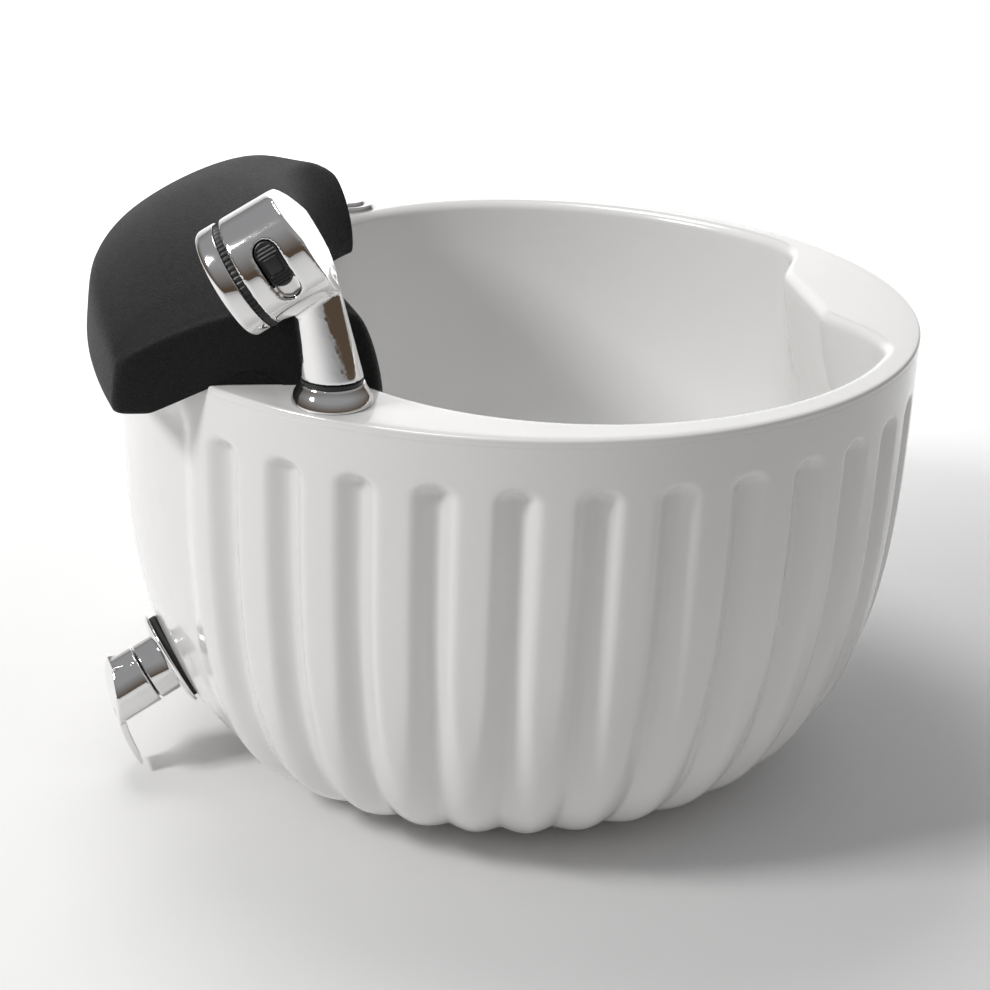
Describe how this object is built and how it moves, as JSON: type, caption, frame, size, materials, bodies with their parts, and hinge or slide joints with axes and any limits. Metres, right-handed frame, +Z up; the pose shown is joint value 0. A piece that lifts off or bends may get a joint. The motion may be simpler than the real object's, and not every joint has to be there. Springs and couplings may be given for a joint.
{
  "type": "foot spa basin",
  "caption": "Round free-standing foot spa basin with a fluted outer shell, footrest pad, pull-out hand shower, air button and wall-mounted lever mixer.",
  "frame": {"origin": "on the floor, on the vertical axis of the bowl and its waste outlet", "axes": "+Z up, -X towards the footrest pad, +X towards the wedge in the bowl, +Y towards the air button"},
  "size_m": [0.5955, 0.58, 0.468],
  "materials": {
    "gelcoat": "gloss white gelcoat",
    "plywood": "sealed plywood",
    "black_rubber": "matt",
    "chrome": "polished",
    "grey_plastic": "moulded",
    "white_plastic": "moulded",
    "black_plastic": "satin moulded",
    "brass": "machined",
    "braided_hose": "braided",
    "spring_steel": "drawn wire",
    "black_foam": "leather-grained satin skin"
  },
  "bodies": {
    "root": {"outer_shell": "gelcoat", "inner_bowl": "gelcoat", "base_plate": "plywood", "base_feet": "black_rubber", "bowl_support": "plywood", "waste_body": "chrome", "waste_gasket": "black_rubber", "waste_nut": "grey_plastic", "waste_tailpiece": "white_plastic", "waste_union_nut": "grey_plastic", "shower_base": "chrome", "shower_gasket": "black_rubber", "shower_nut": "grey_plastic", "mixer_hose": "braided_hose", "button_bezel": "chrome", "button_gasket": "black_rubber", "button_nut": "grey_plastic", "button_spring": "spring_steel", "air_bellows": "black_rubber", "mixer_gasket": "black_rubber", "mixer_plate": "chrome", "mixer_body": "chrome", "mixer_locknut": "brass", "mixer_cartridge": "white_plastic", "cartridge_ring": "brass", "hot_inlet": "brass", "cold_inlet": "brass", "shower_outlet": "brass", "peg_grommets": "black_rubber"},
    "plug": {"waste_plug": "chrome", "plug_seal": "black_rubber"},
    "swivel": {"swivel_bush": "black_plastic"},
    "handset": {"handset_body": "chrome", "handset_face_ring": "chrome", "spray_plate": "grey_plastic", "knurled_ring": "black_plastic", "handset_tail": "chrome", "hose_connector": "brass", "riser_hose": "braided_hose"},
    "switch": {"handset_switch": "black_plastic"},
    "button": {"button_cap": "chrome"},
    "rotor": {"cartridge_rotor": "grey_plastic", "lever_pin": "spring_steel"},
    "lever": {"mixer_lever": "chrome", "lever_index": "grey_plastic"},
    "pad": {"footrest_pad": "black_foam", "pad_plate": "black_plastic", "pad_pegs": "black_plastic"}
  },
  "joints": [
    {"name": "plug_lift", "type": "slide", "parent": "root", "child": "plug", "axis": [0, 0, 1], "range_m": [0, 0.008]},
    {"name": "shower_turn", "type": "hinge", "parent": "root", "child": "swivel", "pos_m": [-0.14269, -0.21973, 0.34], "axis": [0, 0, 1], "range_deg": [0, 150]},
    {"name": "shower_pull", "type": "slide", "parent": "swivel", "child": "handset", "axis": [0, 0, 1], "range_m": [0, 0.12]},
    {"name": "switch_slide", "type": "slide", "parent": "handset", "child": "switch", "axis": [0.5292, -0.0277, -0.848], "range_m": [0, 0.008]},
    {"name": "button_press", "type": "slide", "parent": "root", "child": "button", "axis": [0, 0, -1], "range_m": [0, 0.0025], "stiffness_N_per_m": 400, "springref_m": -0.003, "deforming": ["button_spring"]},
    {"name": "mixer_turn", "type": "hinge", "parent": "root", "child": "rotor", "pos_m": [-0.24921, -0.06678, 0.086], "axis": [-0.8606, -0.2306, -0.454], "range_deg": [-50, 50]},
    {"name": "mixer_lift", "type": "hinge", "parent": "rotor", "child": "lever", "pos_m": [-0.27861, -0.07465, 0.08957], "axis": [-0.2588, 0.9659, 0], "range_deg": [0, 15]},
    {"name": "pad_lift", "type": "slide", "parent": "root", "child": "pad", "axis": [0, 0, 1], "range_m": [0, 0.01]}
  ]
}
